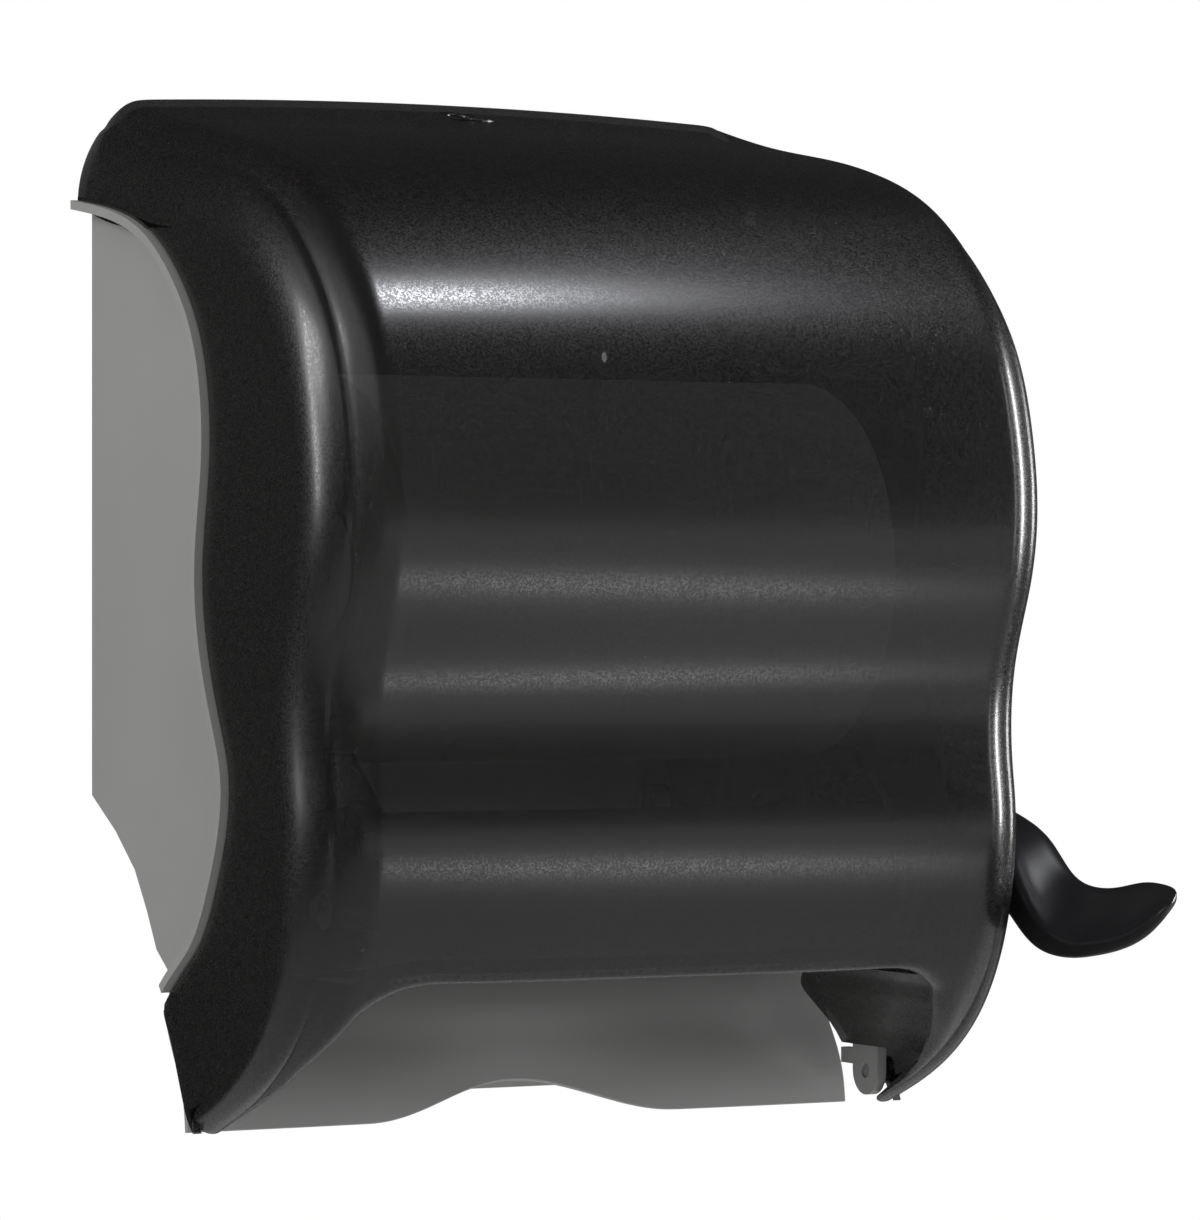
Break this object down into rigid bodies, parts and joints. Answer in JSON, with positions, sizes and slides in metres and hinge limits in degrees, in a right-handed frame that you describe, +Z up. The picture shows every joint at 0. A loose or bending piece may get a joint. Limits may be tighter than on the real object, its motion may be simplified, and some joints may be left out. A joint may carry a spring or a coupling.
{
  "type": "lever_roll_towel_dispenser",
  "caption": "Wall-mounted lever roll paper towel dispenser with a smoke-black hinged cover, grey chassis and a black push lever at the right.",
  "frame": {"origin": "centre of the four wall screws, on the wall plane", "axes": "+X right as seen from the front, +Y into the wall, +Z up"},
  "size_m": [0.3325, 0.2755, 0.3944],
  "materials": {
    "chassis": "light warm grey, fine matte",
    "cover": "smoke black, translucent",
    "lever": "black satin",
    "frame": "grey moulded",
    "white": "natural acetal",
    "steel": "bright",
    "zinc": "plated",
    "brass": "plain",
    "rubber": "ribbed",
    "paper": "soft, wound",
    "card": "plain"
  },
  "bodies": {
    "frame": {"chassis": "chassis", "cover_hinge_pins": "steel", "towel_chute": "chassis", "frame_screws": "steel", "bracket_left": "frame", "bracket_right": "frame", "front_guide": "frame", "guide_screws": "steel", "tear_bar": "steel", "tear_bar_screws": "steel", "feed_bush_left": "white", "feed_bush_right": "white", "lever_bush": "white", "return_spring": "steel", "stop_bumpers": "rubber", "yoke_pins": "steel", "pinch_springs": "steel", "arm_bracket_left": "frame", "arm_bracket_right": "frame", "arm_pins": "steel", "arm_springs": "steel"},
    "cover": {"cover": "cover", "lock_barrel": "zinc", "lock_screws": "steel"},
    "lock_core": {"lock_plug": "brass", "lock_cam": "steel"},
    "lever": {"lever": "lever", "lever_shaft": "steel", "drive_sector": "white", "lever_screw": "steel"},
    "pinion": {"drive_pinion": "white", "one_way_clutch": "steel"},
    "feed_roller": {"feed_shaft": "steel", "feed_drum": "frame", "feed_grips": "rubber", "shaft_clips": "steel"},
    "pinch_yoke": {"pinch_yoke": "frame"},
    "pinch_roller": {"pinch_roller": "rubber", "pinch_shaft": "steel"},
    "arm_left": {"roll_arm_left": "frame", "roll_hub_left": "white"},
    "arm_right": {"roll_arm_right": "frame", "roll_hub_right": "white"},
    "towel_roll": {"towel_roll": "paper", "roll_core": "card"}
  },
  "joints": [
    {"name": "cover_open", "type": "hinge", "parent": "frame", "child": "cover", "pos_m": [0, -0.104, -0.18], "axis": [1, 0, 0], "range_deg": [0, 100]},
    {"name": "lock_turn", "type": "hinge", "parent": "cover", "child": "lock_core", "pos_m": [0, -0.024, 0.17], "axis": [0, 0, -1], "range_deg": [0, 90]},
    {"name": "lever_press", "type": "hinge", "parent": "frame", "child": "lever", "pos_m": [0, -0.077, -0.076], "axis": [1, 0, 0], "range_deg": [0, 40], "stiffness_Nm_per_rad": 0.5, "springref_deg": -28.65, "deforming": ["return_spring"]},
    {"name": "pinion_turn", "type": "hinge", "parent": "frame", "child": "pinion", "pos_m": [0, -0.13, -0.11], "axis": [1, 0, 0], "range_deg": [-170, 0]},
    {"name": "feed_turn", "type": "hinge", "parent": "frame", "child": "feed_roller", "pos_m": [0, -0.13, -0.11], "axis": [1, 0, 0], "continuous": true},
    {"name": "yoke_lift", "type": "hinge", "parent": "frame", "child": "pinch_yoke", "pos_m": [0, -0.1583, -0.078], "axis": [-1, 0, 0], "range_deg": [0, 5], "stiffness_Nm_per_rad": 2, "springref_deg": -11.46, "deforming": ["pinch_springs"]},
    {"name": "pinch_turn", "type": "hinge", "parent": "pinch_yoke", "child": "pinch_roller", "pos_m": [0, -0.1583, -0.11], "axis": [1, 0, 0], "continuous": true},
    {"name": "arm_left_swing", "type": "hinge", "parent": "frame", "child": "arm_left", "pos_m": [-0.108, -0.012, 0.0154], "axis": [0, 0, -1], "range_deg": [0, 10], "stiffness_Nm_per_rad": 1, "springref_deg": -17.19, "deforming": ["arm_springs"]},
    {"name": "arm_right_swing", "type": "hinge", "parent": "frame", "child": "arm_right", "pos_m": [0.108, -0.012, 0.0154], "axis": [0, 0, 1], "range_deg": [0, 10], "stiffness_Nm_per_rad": 1, "springref_deg": -17.19, "deforming": ["arm_springs"]},
    {"name": "roll_spin", "type": "hinge", "parent": "frame", "child": "towel_roll", "pos_m": [0, -0.117, 0.0154], "axis": [1, 0, 0], "continuous": true}
  ],
  "couplings": [
    {"joint": "pinion_turn", "follows": "lever_press", "ratio": -4.247},
    {"joint": "pinch_turn", "follows": "feed_turn", "ratio": -2.1111}
  ]
}
